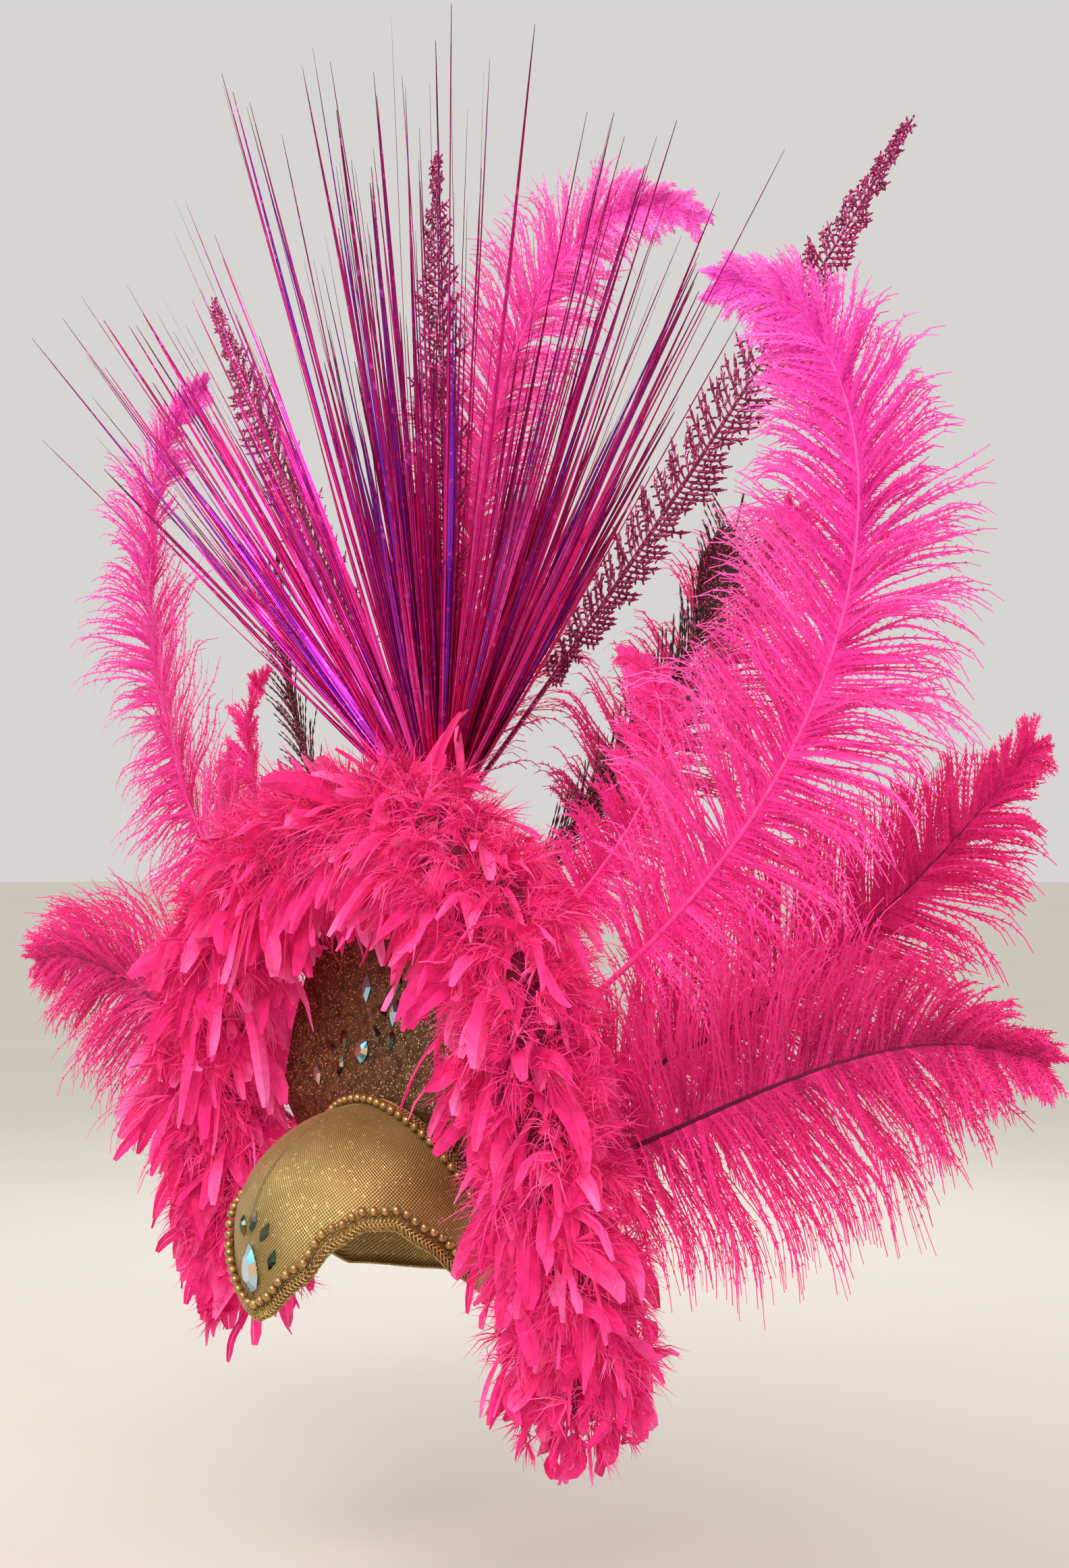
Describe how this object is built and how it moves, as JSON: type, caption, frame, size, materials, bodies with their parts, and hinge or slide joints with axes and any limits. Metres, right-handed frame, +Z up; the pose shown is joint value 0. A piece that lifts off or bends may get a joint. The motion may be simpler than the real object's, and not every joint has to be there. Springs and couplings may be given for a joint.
{
  "type": "carnival feather headdress",
  "caption": "Carnival headdress: gold skull cap with a pointed brow, jewelled crest plate, thick feather boa, ostrich plumes, glitter ferns and sprays of foil sticks.",
  "frame": {"origin": "inside the crown of the skull cap, where the top of the head bears", "axes": "+Z up, front of the head towards -Y, the wearer's left side towards +X"},
  "size_m": [1.0536, 0.3592, 0.905],
  "materials": {
    "gold_cloth": "gold lame cloth with a small raised weave, satin",
    "plate_cloth": "the same gold cloth, darker, with fine glitter",
    "board": "plain covered board",
    "gimp": "plaited metallic gold gimp",
    "bronze_bead": "bronze pearl lacquer",
    "crystal": "foiled cut crystal with a rainbow coating",
    "vitrail": "foiled cut crystal, dark green and violet coating",
    "boa_down": "dyed turkey flats and down, matte",
    "ostrich": "dyed ostrich plume, soft sheen",
    "glitter": "dark feather coated with glitter",
    "fern": "burgundy plastic fern coated with glitter",
    "foil": "metallised plastic film sticks with a holographic glint"
  },
  "bodies": {
    "root": {"skull_cap": "gold_cloth", "crest_plate": "plate_cloth", "plume_rail": "board", "brow_braid": "gimp", "crest_braid": "gimp", "brow_pearls": "bronze_bead", "crest_pearls": "bronze_bead", "boa": "boa_down", "tall_plume_left": "ostrich", "tall_plume_right": "ostrich", "side_plume_left": "ostrich", "side_plume_right": "ostrich", "low_plume_left": "ostrich", "low_plume_right": "ostrich", "back_plume_left": "ostrich", "back_plume_right": "ostrich", "curl_plume_left": "ostrich", "curl_plume_right": "ostrich", "centre_plume": "ostrich", "glitter_feather_left": "glitter", "glitter_feather_right": "glitter", "fern_left": "fern", "fern_centre": "fern", "fern_right": "fern", "spray_left": "foil", "spray_centre": "foil", "spray_right": "foil", "stone_cross_centre": "crystal", "stone_cross_top": "vitrail", "stone_cross_foot": "vitrail", "stone_cross_left": "vitrail", "stone_cross_right": "vitrail", "stone_oval": "crystal", "stone_lilac": "crystal", "stone_tilted": "vitrail", "stone_side_a": "vitrail", "stone_side_b": "vitrail", "stone_side_c": "vitrail", "stone_edge_left": "crystal", "stone_edge_right": "crystal", "stone_edge_low": "crystal", "stone_peak_pear": "crystal", "stone_peak_a": "vitrail", "stone_peak_b": "vitrail", "stone_peak_c": "vitrail", "stone_peak_d": "vitrail"}
  },
  "joints": []
}
